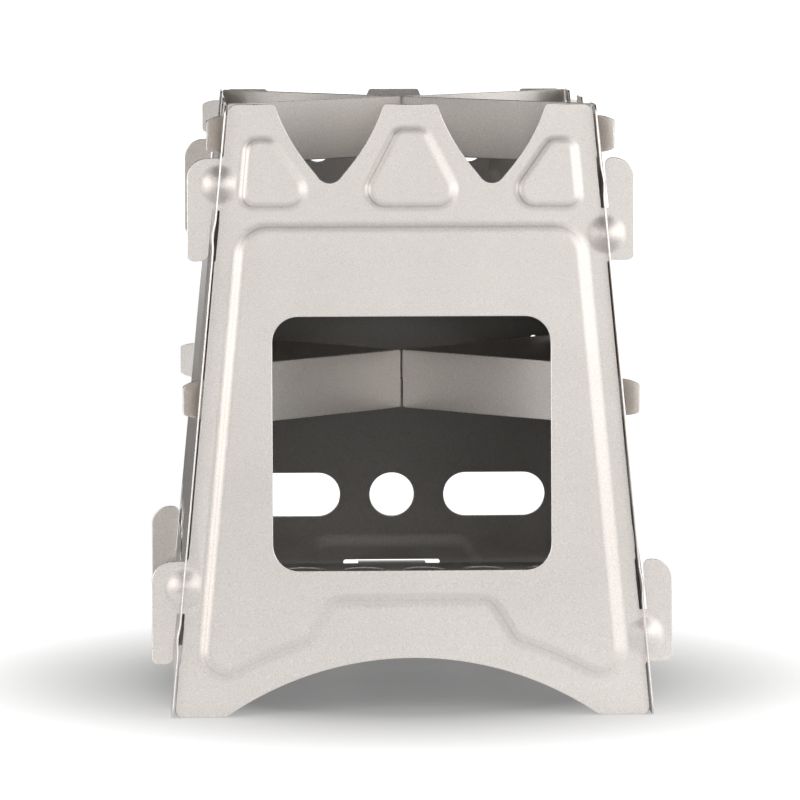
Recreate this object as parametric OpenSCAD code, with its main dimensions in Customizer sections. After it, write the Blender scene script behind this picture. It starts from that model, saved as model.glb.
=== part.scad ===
// Slot-together wood stove of thin titanium sheet.
// Four leaning walls hook into each other at the corners. A perforated grate
// and two pairs of crossed strips sit between them.
// The front wall faces -Y, +Z is up, and the origin is on the ground in the middle.

/* [Overall] */
// Height of the stove from the ground to the crown
stove_h = 166; // [158:1:178]
// Width of the front and back sheets at the ground
bottom_w = 129.8; // [126:0.2:136]
// Width of the front and back sheets at the crown
top_w = 99.2; // [97:0.2:106]
// Thickness of the wall sheets
sheet_t = 0.5; // [0.4:0.05:0.6]

/* [Corners] */
// Gap between an end sheet's edge and the side sheet beside it
edge_gap = 0.4; // [0.3:0.05:0.6]
// How far the side sheets stand out past the front and back sheets
side_overhang = 2.8; // [2.6:0.1:3.6]
// Clearance round a hook or a tab in its slot
fit_gap = 0.3; // [0.2:0.05:0.4]

/* [Crown] */
// Distance from the middle of a sheet to the middle of a notch
notch_x = 22.1; // [21.5:0.1:22.5]
// Half the width of a notch at the crown
notch_half_w = 14.9; // [14.4:0.1:15.6]
// Half the width of a notch where the two straight parts of a flank would meet
notch_waist = 11.5; // [11:0.1:12]
// Depth of that point below the crown
notch_waist_depth = 9.5; // [8.5:0.1:10.5]
// Radius of the flank's curve there
notch_waist_r = 57; // [30:1:60]
// Depth below the crown at which the straight flanks would meet
notch_depth = 23.6; // [22:0.1:25]
// Radius at the bottom of a notch
notch_r = 3.8; // [3:0.1:4.5]
// Radius of the small corners beside a notch
notch_edge_r = 1; // [0.5:0.1:1.5]
// Radius of the outer corners of the crown
crown_r = 2.6; // [1:0.1:3.5]

/* [Feet] */
// Radius of the arch under each wall
arch_r = 90; // [86:0.5:94]
// Height of the arch over the ground
arch_rise = 15.85; // [14:0.05:17]
// Radius of the outer corners of the feet
foot_r = 2.3; // [1:0.1:3]

/* [Pressed field] */
// The outline of every pressing runs along the middle of its sloping wall.
// Height of the large field over its sheet
field_h = 0.9; // [0.7:0.05:1.2]
// Width of the sloping wall round it
field_run = 3.2; // [2.6:0.1:3.4]
// Margin from the sheet's edge to the field
field_margin = 6.4; // [6.2:0.1:7.5]
// Distance from the crown down to the field
field_drop = 33.4; // [32.4:0.1:36]
// Radius of the upper corners of the field
field_r = 8; // [6:0.1:9]
// Radius of the lower corners of the field
field_foot_r = 6; // [4.5:0.1:6.5]
// Distance from the arch to the field above it
field_rise = 9; // [8:0.1:10]
// Half the length of the field's curved lower edge on each side
field_reach = 47; // [45:0.5:48]
// Half the width of the recess in the field's lower edge
recess_half_w = 21.5; // [20:0.1:23]
// Height of the top of that recess over the ground
recess_top = 31.7; // [31:0.1:34]
// Angle of the recess flanks from the vertical
recess_angle = 32; // [25:1:38]
// Radius of the recess corners
recess_r = 5; // [3:0.1:6]

/* [Pressed triangles] */
// Height of a triangle over its sheet
tri_h = 0.7; // [0.65:0.05:0.9]
// Width of the sloping wall round a triangle
tri_run = 2.2; // [1.6:0.1:2.4]
// Distance from the crown down to the base of the triangles
tri_base_drop = 27.85; // [27:0.05:29]
// Distance from the crown down to the top of the middle triangle
tri_mid_drop = 6.9; // [6:0.1:8]
// Half the base width of the middle triangle, at its sharp corners
tri_mid_base = 14.7; // [14:0.1:15]
// Half the top width of the middle triangle
tri_mid_top = 3.8; // [3:0.1:4.2]
// Distance from the crown down to the top of the outer triangles
tri_out_drop = 9.65; // [9:0.05:11]
// Margin from the sheet's edge to an outer triangle
tri_out_margin = 6; // [5.8:0.1:6.6]
// Distance from the middle of the sheet to an outer triangle's base corner
tri_out_base = 25; // [24.6:0.1:26]
// Distance from the middle of the sheet to an outer triangle's top corner
tri_out_top = 37.9; // [37.4:0.1:38.4]
// Radius of the base corners of the triangles
tri_base_r = 4.6; // [3:0.1:5]
// Radius of the other corners of the triangles
tri_top_r = 3.1; // [2.4:0.1:3.5]

/* [Hooks] */
// Distance from the ground to the lower hooks and from the crown to the upper ones
hook_inset = 14.6; // [13.6:0.1:15]
// Height of a hook
hook_h = 28; // [27:0.1:29]
// Height of the root that joins a hook to its sheet
hook_root_h = 14.2; // [13.5:0.1:15]
// How far a hook reaches past the sheet's edge
hook_reach = 8.7; // [8:0.1:10]
// Width of the slit between a hook's tongue and the sheet's edge
slit_w = 1.8; // [1.75:0.05:2.2]
// Depth by which the sheet's edge is cut back along the slit
edge_cut = 0.3; // [0.2:0.05:0.5]
// Radius of the corner at the closed end of the slit
slit_r = 0.3; // [0.2:0.05:0.5]
// Radius of the large upper corner of a hook
hook_top_r = 5.4; // [4:0.1:6]
// Radius of the other corners of a hook
hook_tip_r = 1.9; // [1.2:0.1:2.2]
// Radius of the round dome pressed into a hook's root
dome_r = 4.5; // [3.5:0.1:5]
// Height of that dome
dome_h = 1.2; // [0.9:0.05:1.3]
// Radius of the shallow bump on the side sheet that fills the slit
bump_r = 4; // [3:0.1:4.5]
// Gap between that bump and the hook's tongue
bump_gap = 0.15; // [0.05:0.05:0.3]

/* [Window and vents] */
// Width of the feed window
window_w = 75.8; // [70:0.2:78]
// Height of the feed window, measured along the sheet
window_h = 69; // [62:0.5:74]
// Distance along the sheet from the ground to the window
window_sill = 39.9; // [39:0.1:44]
// Radius of the window's corners
window_r = 7; // [4:0.1:10]
// Height of the vents
vent_h = 13; // [10:0.1:14]
// Length of a long vent
vent_l = 30; // [26:0.5:31]
// Distance from the middle of the sheet to the near end of a long vent
vent_x = 15.35; // [14.5:0.05:17]
// Distance along the sheet from the ground to the middle of the vents
vent_v = 45.6; // [44:0.1:50]
// Diameter of the two pin holes in a vented wall
pin_d = 1.8; // [1.2:0.1:3]
// Distance from the middle of the sheet to a pin hole
pin_x = 41.6; // [40:0.1:43]
// Distance along the sheet from the ground to the pin holes
pin_v = 92.4; // [88:0.1:98]

/* [Grate] */
// Height of the grate's underside over the ground
grate_z = 24.9; // [23.5:0.1:26.5]
// Thickness of the grate
grate_t = 0.5; // [0.4:0.05:0.6]
// Diameter of the grate's holes
hole_d = 12; // [9:0.1:13]
// Distance between the grate's holes
hole_pitch = 17.6; // [16:0.1:18]
// Number of holes along each side
hole_n = 6; // [4:1:6]
// Width of a grate tab
grate_tab_w = 20; // [16:0.5:24]
// How far a grate tab stands out past its wall
grate_tab_reach = 1.2; // [0.6:0.1:2.5]
// Length of the slot that takes a grate tab
grate_slot_w = 28.6; // [26:0.2:32]
// Distance from the grate to the front and back sheets
grate_gap = 4.5; // [0.5:0.1:5]
// Radius of the grate's corners
grate_r = 3; // [1:0.1:6]

/* [Crossed strips] */
// Thickness of the crossed strips
strip_t = 0.5; // [0.4:0.05:0.6]
// Height of a strip
strip_h = 16.5; // [15.5:0.1:17.5]
// Height of the top of the lower pair over the ground
lower_top = 94.4; // [90:0.1:100]
// Distance from a strip to the front sheet where it passes the side sheet
strip_inset = 3; // [2.8:0.1:3.4]
// Height of a tab where it leaves its strip
tab_root_h = 10.2; // [9.6:0.1:10.8]
// Height of a tab at its end
tab_end_h = 7.8; // [7:0.1:9]
// How far a tab stands out past the side sheet
tab_reach = 4.3; // [3.5:0.1:5.5]
// Gap between a strip's shoulder and the side sheet
shoulder_gap = 0.3; // [0.2:0.05:0.6]
// Gap all round where two strips cross
lap_gap = 0.4; // [0.1:0.05:0.5]
// Height at which a lifting strip's tabs stand over the bottom of their slots
seat_gap = 0.05; // [0.02:0.01:0.2]

/* [Hidden] */

// Colour of the sheet in the light and of the strips
sheet_colour = [0.80, 0.78, 0.75];
strip_colour = [0.70, 0.68, 0.65];

// Points in a rounded corner, and facets in a full circle
arc_n = 6;
$fn = 96;
// Largest share of an edge that one rounded corner takes
corner_share = 0.93;
// Smallest radius on the inner outline of a pressing
least_r = 0.4;
// Length by which a cutter runs past what it cuts
over = 1;
// Length by which a hook's outline runs into its sheet
hook_lap = 3.65;
// Length of the cutter for a strip's slot
slot_cut = 17.2;

lean = atan((bottom_w - top_w) / 2 / stove_h);
slant_h = stove_h / cos(lean);

// Half the width of an end sheet at a distance v along the sheet, and at a height z
function half_w(v) = bottom_w / 2 - v * sin(lean);
function half_at(z) = bottom_w / 2 - z * tan(lean);

// Distances of the side sheets' faces outward from the end sheets' edges
side_in = edge_gap;
side_out = edge_gap + sheet_t;

arch_v = arch_rise - arch_r;
field_top = slant_h - field_drop;
upper_hook_v = slant_h - hook_inset - hook_h;
lower_hook_v = hook_inset;
hook_levels = [lower_hook_v, upper_hook_v];
bump_h = slit_w - side_out - bump_gap;

// Corner rounding

function unit(p) = p / norm(p);
function turn(a, b, c) = (b[0] - a[0]) * (c[1] - b[1]) - (b[1] - a[1]) * (c[0] - b[0]);
function flat(p) = [p[0], p[1]];

// Points of the arc that rounds corner b between a and c
function corner(a, b, c, r) =
    let (p = flat(b), d1 = flat(a) - p, d2 = flat(c) - p,
         u1 = unit(d1), u2 = unit(d2),
         half = acos(max(-1, min(1, u1 * u2))) / 2,
         reach = min(r / tan(half), corner_share * min(norm(d1), norm(d2))),
         fit_r = reach * tan(half),
         mid = p + unit(u1 + u2) * fit_r / sin(half),
         s = p + u1 * reach - mid, e = p + u2 * reach - mid,
         a0 = atan2(s[1], s[0]), raw = atan2(e[1], e[0]) - a0,
         sweep = raw > 180 ? raw - 360 : raw < -180 ? raw + 360 : raw)
    [for (i = [0 : arc_n]) mid + fit_r * [cos(a0 + sweep * i / arc_n), sin(a0 + sweep * i / arc_n)]];

// Outline of corners [x, y, radius], each rounded by its radius
function rounded(p) =
    let (n = len(p))
    [for (i = [0 : n - 1])
        let (b = p[i])
        each b[2] == 0 ? [flat(b)] : corner(p[(i + n - 1) % n], b, p[(i + 1) % n], b[2])];

// The same corners moved inward by d, for an outline that runs anticlockwise
function inset(p, d) =
    let (n = len(p))
    [for (i = [0 : n - 1])
        let (a = flat(p[(i + n - 1) % n]), b = flat(p[i]), c = flat(p[(i + 1) % n]),
             e1 = unit(b - a), e2 = unit(c - b),
             n1 = [-e1[1], e1[0]], n2 = [-e2[1], e2[0]],
             q = b + d * (n1 + n2) / (1 + n1 * n2),
             r = p[i][2],
             inner_r = r == 0 ? 0 : max(r + (turn(a, b, c) > 0 ? -d : d), least_r))
        [q[0], q[1], inner_r]];

function mirrored(p) = [for (i = [len(p) - 1 : -1 : 0]) [-p[i][0], p[i][1], p[i][2]]];

// Outlines in the sheet's own plane: x across, y up along the sheet

// Half the outline of a wall, from the foot up to the crown. extra widens it on each side.
function wall_half(extra) = [
    [half_w(0) + extra, 0, foot_r],
    [half_w(slant_h) + extra, slant_h, crown_r],
    [notch_x + notch_half_w, slant_h, notch_edge_r],
    [notch_x + notch_waist, slant_h - notch_waist_depth, notch_waist_r],
    [notch_x, slant_h - notch_depth, notch_r],
    [notch_x - notch_waist, slant_h - notch_waist_depth, notch_waist_r],
    [notch_x - notch_half_w, slant_h, notch_edge_r]];
function wall_outline(extra) = concat(wall_half(extra), mirrored(wall_half(extra)));

// The large pressed field. Its lower edge follows the arch and has a recess in the middle.
field_low_r = arch_r + field_rise;
function field_low(x) = arch_v + sqrt(field_low_r * field_low_r - x * x);
recess_slope = tan(recess_angle);
// Where the line x = p - q * y meets the field's lower arc
function on_low_arc(p, q) =
    let (a = q * q + 1, b = -2 * p * q - 2 * arch_v,
         c = p * p + arch_v * arch_v - field_low_r * field_low_r)
    (-b + sqrt(b * b - 4 * a * c)) / (2 * a);
recess_foot_v = on_low_arc(recess_half_w + recess_top * recess_slope, recess_slope);
recess_foot_x = recess_half_w + (recess_top - recess_foot_v) * recess_slope;
// The arc's tangent at its outer end runs on to the field's side
low_steps = 4;
low_step = (field_reach - recess_foot_x) / low_steps;
low_slope = field_reach / (field_low(field_reach) - arch_v);
field_side = half_w(0) - field_margin;
field_foot_v = (field_low(field_reach) - low_slope * (field_side - field_reach))
    / (1 - low_slope * sin(lean));
field_half = concat(
    [[recess_half_w, recess_top, recess_r],
     [recess_foot_x, recess_foot_v, recess_r]],
    [for (i = [1 : low_steps])
        let (x = recess_foot_x + i * low_step)
        [x, field_low(x), 0]],
    [[field_side - field_foot_v * sin(lean), field_foot_v, field_foot_r],
     [field_side - field_top * sin(lean), field_top, field_r]]);
field_outline = concat(field_half, mirrored(field_half));

// The triangles pressed into the crown's points
tri_base_v = slant_h - tri_base_drop;
mid_triangle = [
    [-tri_mid_base, tri_base_v, tri_base_r],
    [tri_mid_base, tri_base_v, tri_base_r],
    [tri_mid_top, slant_h - tri_mid_drop, tri_top_r],
    [-tri_mid_top, slant_h - tri_mid_drop, tri_top_r]];
tri_out_v = slant_h - tri_out_drop;
out_triangle = [
    [tri_out_base, tri_base_v, tri_base_r],
    [half_w(tri_base_v) - tri_out_margin, tri_base_v, tri_top_r],
    [half_w(tri_out_v) - tri_out_margin, tri_out_v, tri_top_r],
    [tri_out_top, tri_out_v, tri_top_r]];

// Each pressing: the foot and the brow of its sloping wall, and its height
function press(outline, run, height) =
    [rounded(inset(outline, -run / 2)), rounded(inset(outline, run / 2)), height];
pressings = [
    press(field_outline, field_run, field_h),
    press(mid_triangle, tri_run, tri_h),
    press(out_triangle, tri_run, tri_h),
    press(mirrored(out_triangle), tri_run, tri_h)];

// A hook on the right-hand edge. v is the height of its lower end.
function hook_outline(v, tongue_up) =
    let (mid = half_w(v + hook_h / 2), out = mid + hook_reach, inner = mid - hook_lap,
         top = v + hook_h,
         root = tongue_up ? v + hook_root_h : top - hook_root_h,
         tip = tongue_up ? top : v)
    tongue_up
        ? [[inner, v, 0], [out, v, hook_tip_r], [out, top, hook_top_r],
           [half_w(tip) + slit_w, tip, hook_tip_r],
           [half_w(root) + slit_w, root, slit_r], [inner, root, 0]]
        : [[inner, root, 0], [half_w(root) + slit_w, root, slit_r],
           [half_w(tip) + slit_w, tip, hook_tip_r],
           [out, v, hook_tip_r], [out, top, hook_top_r], [inner, top, 0]];

// Ends of a hook's root and of its slit, low and high
function root_span(v, tongue_up) =
    tongue_up ? [v, v + hook_root_h] : [v + hook_h - hook_root_h, v + hook_h];
function slit_span(v, tongue_up) =
    tongue_up ? [v + hook_root_h, v + hook_h] : [v, v + hook_h - hook_root_h];
function middle(span) = (span[0] + span[1]) / 2;

// A band along the sheet's edge, between two distances outward from it
module edge_band(span, low, high) {
    polygon([
        [half_w(span[0]) + low, span[0]],
        [half_w(span[0]) + high, span[0]],
        [half_w(span[1]) + high, span[1]],
        [half_w(span[1]) + low, span[1]]]);
}

// Sloping wall and raised plate of a pressing
module pressing(foot, brow, height) {
    n = len(foot);
    rings = [
        for (p = foot) [p[0], p[1], 0],
        for (p = brow) [p[0], p[1], height],
        for (p = brow) [p[0], p[1], height - sheet_t],
        for (p = foot) [p[0], p[1], -sheet_t]];
    polyhedron(rings, [
        for (i = [0 : n - 1], k = [0 : 3])
            let (j = (i + 1) % n, a = k * n, b = ((k + 1) % 4) * n)
            each [[a + i, b + i, b + j], [a + i, b + j, a + j]]]);
    translate([0, 0, height - sheet_t])
        linear_extrude(sheet_t)
            polygon(brow);
}

// Radius of the ball whose cap has footprint radius r and height h
function cap_ball(r, h) = (r * r + h * h) / (2 * h);

module cap_outside(r, h) {
    ball = cap_ball(r, h);
    intersection() {
        translate([0, 0, h - ball])
            sphere(ball);
        translate([0, 0, -sheet_t / 2])
            cylinder(r = r + over, h = h + over);
    }
}

module cap_inside(r, h) {
    ball = cap_ball(r, h);
    intersection() {
        translate([0, 0, h - sheet_t - ball])
            sphere(ball);
        translate([0, 0, -sheet_t - over])
            cylinder(r = r + over, h = h + 2 * over);
    }
}

module through() {
    translate([0, 0, -sheet_t - over])
        linear_extrude(dome_h + sheet_t + 2 * over)
            children();
}

module round_slot(w, h) {
    square([w - h, h], center = true);
    for (s = [-1, 1])
        translate([s * (w - h) / 2, 0])
            circle(d = h);
}

module round_window(w, h, r) {
    square([w, h - 2 * r], center = true);
    square([w - 2 * r, h], center = true);
    for (sx = [-1, 1], sy = [-1, 1])
        translate([sx * (w / 2 - r), sy * (h / 2 - r)])
            circle(r);
}

module vents() {
    translate([0, vent_v])
        circle(d = vent_h);
    for (s = [-1, 1]) {
        translate([s * (vent_x + vent_l / 2), vent_v])
            round_slot(vent_l, vent_h);
        translate([s * pin_x, pin_v])
            circle(d = pin_d);
    }
}

module grate_slot() {
    slot_h = grate_t + 2 * fit_gap + sheet_t * sin(lean) + grate_t * sin(lean);
    translate([0, (grate_z + grate_t / 2) / cos(lean)])
        round_slot(grate_slot_w, slot_h + fit_gap);
}

module arch() {
    translate([0, arch_v])
        circle(arch_r, $fn = 240);
}

// Which way the hooks on a side point, seen from outside: right ones up, left ones down
function tongue_up(side) = side > 0;

// An end sheet lying flat: front and back differ only in their openings
module end_sheet() {
    difference() {
        union() {
            translate([0, 0, -sheet_t])
                linear_extrude(sheet_t)
                    difference() {
                        union() {
                            polygon(rounded(wall_outline(0)));
                            for (side = [-1, 1], v = hook_levels)
                                mirror([side < 0 ? 1 : 0, 0])
                                    polygon(rounded(hook_outline(v, tongue_up(side))));
                        }
                        for (p = pressings)
                            polygon(p[0]);
                        for (side = [-1, 1], v = hook_levels)
                            mirror([side < 0 ? 1 : 0, 0])
                                edge_band(slit_span(v, tongue_up(side)), -edge_cut, slit_w / 2);
                    }
            for (p = pressings)
                pressing(p[0], p[1], p[2]);
            hook_domes()
                cap_outside(dome_r, dome_h);
        }
        hook_domes()
            cap_inside(dome_r, dome_h);
        through()
            arch();
        through()
            children();
    }
}

module hook_domes() {
    for (side = [-1, 1], v = hook_levels) {
        mid = middle(root_span(v, tongue_up(side)));
        translate([side * (half_w(mid) + edge_gap), mid, 0])
            children();
    }
}

// A side sheet lying flat. Its left edge, seen from outside, faces the back of a left wall.
module side_sheet() {
    difference() {
        union() {
            translate([0, 0, -sheet_t])
                linear_extrude(sheet_t)
                    difference() {
                        polygon(rounded(wall_outline(side_overhang)));
                        for (p = pressings)
                            polygon(p[0]);
                    }
            for (p = pressings)
                pressing(p[0], p[1], p[2]);
            intersection() {
                slit_bumps()
                    cap_outside(bump_r, bump_h);
                through()
                    polygon(rounded(wall_outline(side_overhang)));
            }
        }
        slit_bumps()
            cap_inside(bump_r, bump_h);
        through()
            for (edge = [-1, 1], v = hook_levels)
                mirror([edge < 0 ? 1 : 0, 0])
                    hook_slot(root_span(v, edge < 0));
        through() {
            arch();
            vents();
            grate_slot();
        }
    }
}

// Slot that a hook's root and its dome pass through
module hook_slot(span) {
    edge_band([span[0] - fit_gap, span[1] + fit_gap], -sheet_t - fit_gap, dome_h + fit_gap);
}

module slit_bumps() {
    for (edge = [-1, 1], v = hook_levels) {
        mid = middle(slit_span(v, edge < 0));
        translate([edge * (half_w(mid) - sheet_t / 2), mid, 0])
            children();
    }
}

// Stand a flat sheet up, its outer face this far from the axis at the ground
module stand(out) {
    translate([0, -out, 0])
        rotate([90 - lean, 0, 0])
            children();
}

// Cut flat where the feet meet the ground
module on_ground() {
    difference() {
        children();
        translate([-bottom_w, -bottom_w, -2 * over])
            cube([2 * bottom_w, 2 * bottom_w, 2 * over]);
    }
}

module front_wall() {
    color(sheet_colour)
        on_ground()
            stand(bottom_w / 2)
                end_sheet()
                    translate([0, window_sill + window_h / 2])
                        round_window(window_w, window_h, window_r);
}

module back_wall() {
    color(sheet_colour)
        rotate([0, 0, 180])
            on_ground()
                stand(bottom_w / 2)
                    end_sheet() {
                        vents();
                        grate_slot();
                    }
}

// turn is -90 for the left wall and 90 for the right one
module side_wall(turn) {
    difference() {
        rotate([0, 0, turn])
            on_ground()
                stand(bottom_w / 2 + side_out)
                    side_sheet();
        for (way = [-1, 1]) {
            tab_slot(way, lower_mid, fit_gap, fit_gap);
            tab_slot(way, upper_mid, seat_gap, strip_h);
        }
    }
}

module left_wall() {
    color(sheet_colour)
        side_wall(-90);
}

module right_wall() {
    color(sheet_colour)
        side_wall(90);
}

// The grate rests by its tabs in the back wall and both side walls
module grate() {
    x_in = half_at(grate_z + grate_t) + side_in - fit_gap;
    y_in = half_at(grate_z + grate_t) - sheet_t - grate_gap;
    side_tab = half_at(grate_z) + side_out + grate_tab_reach;
    back_tab = half_at(grate_z) + grate_tab_reach;
    color(strip_colour)
        translate([0, 0, grate_z])
            linear_extrude(grate_t)
                difference() {
                    union() {
                        round_window(2 * x_in, 2 * y_in, grate_r);
                        square([2 * side_tab, grate_tab_w], center = true);
                        translate([-grate_tab_w / 2, 0])
                            square([grate_tab_w, back_tab]);
                    }
                    for (i = [0 : hole_n - 1], j = [0 : hole_n - 1])
                        translate([i - (hole_n - 1) / 2, j - (hole_n - 1) / 2] * hole_pitch)
                            circle(d = hole_d, $fn = 48);
                }
}

// Crossed strips

upper_mid = stove_h - strip_h / 2;
lower_mid = lower_top - strip_h / 2;

// Plan angle of a strip whose middle is at height z: it passes the side sheet near the corner
function strip_angle(z) = atan((half_at(z) - strip_inset) / (half_at(z) + side_in + sheet_t / 2));

// Half the side view of a strip. low_x and high_x are the shoulder's distances across the stove.
function strip_half(z, low_x, high_x) =
    let (run = cos(strip_angle(z)), low = z - strip_h / 2, high = z + strip_h / 2,
         out_x = half_at(z) + side_out, tip_x = out_x + tab_reach, steps = 5,
         root = tab_root_h / 2, drop = (tab_root_h - tab_end_h) / 2,
         slope = (high_x - low_x) / strip_h,
         edge = [for (i = [0 : steps]) let (s = i / steps) [out_x + s * tab_reach, root - drop * s * s]])
    concat(
        [[low_x / run, low], [(low_x + slope * (strip_h / 2 - root)) / run, z - root]],
        [for (p = edge) [p[0] / run, z - p[1]]],
        [for (i = [steps : -1 : 0]) [edge[i][0] / run, z + edge[i][1]]],
        [[(high_x - slope * (strip_h / 2 - root)) / run, z + root], [high_x / run, high]]);

// A slab in the plane of the strip that runs front-left to back-right (way 1) or the other (way -1)
module strip_plane(way, z, thickness) {
    rotate([90, 0, way * strip_angle(z)])
        translate([0, 0, -thickness / 2])
            linear_extrude(thickness)
                children();
}

// Slots that the two tabs of a strip pass through
module tab_slot(way, z, below, above) {
    from = (half_at(z) - strip_inset) / cos(strip_angle(z));
    low = z - tab_root_h / 2 - below;
    strip_plane(way, z, strip_t + 2 * fit_gap)
        for (s = [0, 1])
            mirror([s, 0])
                translate([from, low])
                    square([slot_cut, tab_root_h + below + above]);
}

// way is 1 or -1 as above, and notch_up is true for the strip that lies under
module strip(way, z, low_x, high_x, notch_up) {
    side = strip_half(z, low_x, high_x);
    left = [for (i = [len(side) - 1 : -1 : 0]) [-side[i][0], side[i][1]]];
    color(strip_colour)
        difference() {
            strip_plane(way, z, strip_t)
                polygon(concat(side, left));
            strip_plane(-way, z, strip_t + 2 * lap_gap)
                translate([-strip_h, notch_up ? z - lap_gap / 2 : z - strip_h])
                    square([2 * strip_h, strip_h + lap_gap / 2]);
        }
}

// The lower pair sits in closed slots, so its shoulders follow the leaning walls
module lower_strip(way, notch_up) {
    inside = side_in - shoulder_gap;
    strip(way, lower_mid, half_at(lower_mid - strip_h / 2) + inside,
          half_at(lower_top) + inside, notch_up);
}

// The upper pair lifts out, so its shoulders stand inside the crown
module upper_strip(way, notch_up) {
    inside = half_at(stove_h) + side_in - shoulder_gap;
    strip(way, upper_mid, inside, inside, notch_up);
}

module lower_strip_under() lower_strip(1, true);
module lower_strip_over() lower_strip(-1, false);
module upper_strip_under() upper_strip(1, true);
module upper_strip_over() upper_strip(-1, false);

front_wall();
back_wall();
left_wall();
right_wall();
grate();
lower_strip_under();
lower_strip_over();
upper_strip_under();
upper_strip_over();
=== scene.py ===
"""The looks of a slot-together wood stove of thin titanium sheet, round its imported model.

Every piece is a flat sheet with pressings, so each is drawn in its own plane in millimetres:
x runs across, v runs up along the sheet and w stands out of it. A piece is a fine mesh with
true thickness, softly pressed walls and rounded cut edges, and stands for its CAD node.
"""

import math

import bpy
import numpy as np
from mathutils import Matrix, Vector
from mathutils.geometry import delaunay_2d_cdt

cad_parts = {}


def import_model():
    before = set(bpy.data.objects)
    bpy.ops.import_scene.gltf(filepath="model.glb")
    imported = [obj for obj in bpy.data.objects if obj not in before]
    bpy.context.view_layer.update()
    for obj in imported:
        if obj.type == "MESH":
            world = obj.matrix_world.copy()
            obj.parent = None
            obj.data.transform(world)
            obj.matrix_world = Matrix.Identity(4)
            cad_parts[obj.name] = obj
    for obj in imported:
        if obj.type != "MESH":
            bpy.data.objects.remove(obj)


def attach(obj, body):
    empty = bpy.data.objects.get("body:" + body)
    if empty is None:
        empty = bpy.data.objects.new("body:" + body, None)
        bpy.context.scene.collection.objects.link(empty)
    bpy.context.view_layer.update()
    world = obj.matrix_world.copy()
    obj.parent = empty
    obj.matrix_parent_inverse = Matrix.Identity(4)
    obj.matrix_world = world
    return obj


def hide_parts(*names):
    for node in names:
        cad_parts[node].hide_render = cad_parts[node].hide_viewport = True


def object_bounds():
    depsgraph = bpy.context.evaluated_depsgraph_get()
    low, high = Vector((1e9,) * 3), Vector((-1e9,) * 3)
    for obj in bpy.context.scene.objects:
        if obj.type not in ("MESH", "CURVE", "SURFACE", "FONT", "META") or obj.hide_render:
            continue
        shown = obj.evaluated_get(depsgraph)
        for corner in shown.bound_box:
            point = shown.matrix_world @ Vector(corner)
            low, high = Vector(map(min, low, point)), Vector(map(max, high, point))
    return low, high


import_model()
cad_low, cad_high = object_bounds()

MM = 0.001

# Sizes of the stove, in millimetres
STOVE_H = cad_high.z / MM
BOTTOM_W = 129.8
TOP_W = 99.2
SHEET_T = 0.5
EDGE_GAP = 0.4
SIDE_OVERHANG = 2.8
FIT_GAP = 0.3
LEAN = math.atan((BOTTOM_W - TOP_W) / 2 / STOVE_H)
SLANT_H = STOVE_H / math.cos(LEAN)
SIDE_OUT = EDGE_GAP + SHEET_T

# Crown
NOTCH_X = 22.1
NOTCH_HALF_W = 14.9
NOTCH_WAIST = 11.5
NOTCH_WAIST_DEPTH = 9.5
NOTCH_WAIST_R = 57
NOTCH_DEPTH = 23.6
NOTCH_R = 3.8
NOTCH_EDGE_R = 1
CROWN_R = 2.6

# Feet and arch
ARCH_R = 90
ARCH_RISE = 15.85
ARCH_V = ARCH_RISE - ARCH_R
ARCH_FOOT_X = math.sqrt(ARCH_R**2 - ARCH_V**2)
ARCH_FOOT_R = 4
ARCH_SPAN = 47
FOOT_R = 2.3

# Pressings. Each outline runs along the middle of the sloping wall.
FIELD_H = 0.9
FIELD_RUN = 3.2
FIELD_MARGIN = 6.4
FIELD_DROP = 33.4
FIELD_R = 8
FIELD_FOOT_R = 6
FIELD_RISE = 9
FIELD_REACH = 47
RECESS_HALF_W = 21.5
RECESS_TOP = 31.7
RECESS_SLOPE = math.tan(math.radians(32))
RECESS_R = 5
TRI_H = 0.7
TRI_RUN = 2.2
TRI_BASE_DROP = 27.85
TRI_MID_DROP = 6.9
TRI_MID_BASE = 14.7
TRI_MID_TOP = 3.8
TRI_OUT_DROP = 9.65
TRI_OUT_MARGIN = 6
TRI_OUT_BASE = 25
TRI_OUT_TOP = 37.9
TRI_BASE_R = 4.6
TRI_TOP_R = 3.1
# How far a pressing's wall fades into the flat sheet on each side
PRESS_SOFT = 0.6
# Share of the slope that is left on the walls at a pressing's foot and at its top
FOOT_EASE = 0.4
TOP_EASE = 0.5
# Painted shade: a fine dark line along the die's crease in the middle of that wall, and how strong it
# is on the walls that rise to the right, upwards and downwards, as light falls on them
LINE_WIDTH = 0.2
CREASE_SHADE_TONE = 0.6
FIELD_CREASE_SHADE = (0.35, 0.15, 0.6)
TRI_CREASE_SHADE = (1, 0.55, 0.3)
# Rows of points across that wall: in its middle, to this many widths of the line on each side,
# and from there outward on each side
LINE_STEPS = 13
LINE_REACH = 3
WALL_STEPS = 8

# Hooks, and where the two on each edge begin
HOOK_INSET = 14.6
HOOK_H = 28
HOOK_LEVELS = [HOOK_INSET, SLANT_H - HOOK_INSET - HOOK_H]
HOOK_ROOT_H = 14.2
HOOK_REACH = 8.7
HOOK_TOP_R = 5.4
HOOK_TIP_R = 1.9
HOOK_FILLET_R = 1
SLIT_W = 1.8
SLIT_R = 0.3
EDGE_CUT = 0.3
DOME_R = 4.5
DOME_H = 1.2
BUMP_R = 4
BUMP_H = 0.75
# A dome as drawn: its foot fades out this much wider than its radius, and its top is lower
DOME_FADE = 1.3
DOME_RISE = 1
# Its points lie on rings, at these shares of the radius, and this far from any free edge
DOME_RINGS = (0.15, 0.3, 0.45, 0.6, 0.72, 0.84, 0.94, 1.0)
DOME_STEPS = 36
DOME_CLEAR = 0.4

# Window, vents and the grate's slot
WINDOW_W = 75.8
WINDOW_H = 69
WINDOW_SILL = 39.9
WINDOW_R = 7
VENT_H = 13
VENT_L = 30
VENT_X = 15.35
VENT_V = 45.6
PIN_R = 0.9
PIN_X = 41.6
PIN_V = 92.4
GRATE_SLOT_W = 28.6
GRATE_SLOT_H = 1.5
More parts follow.
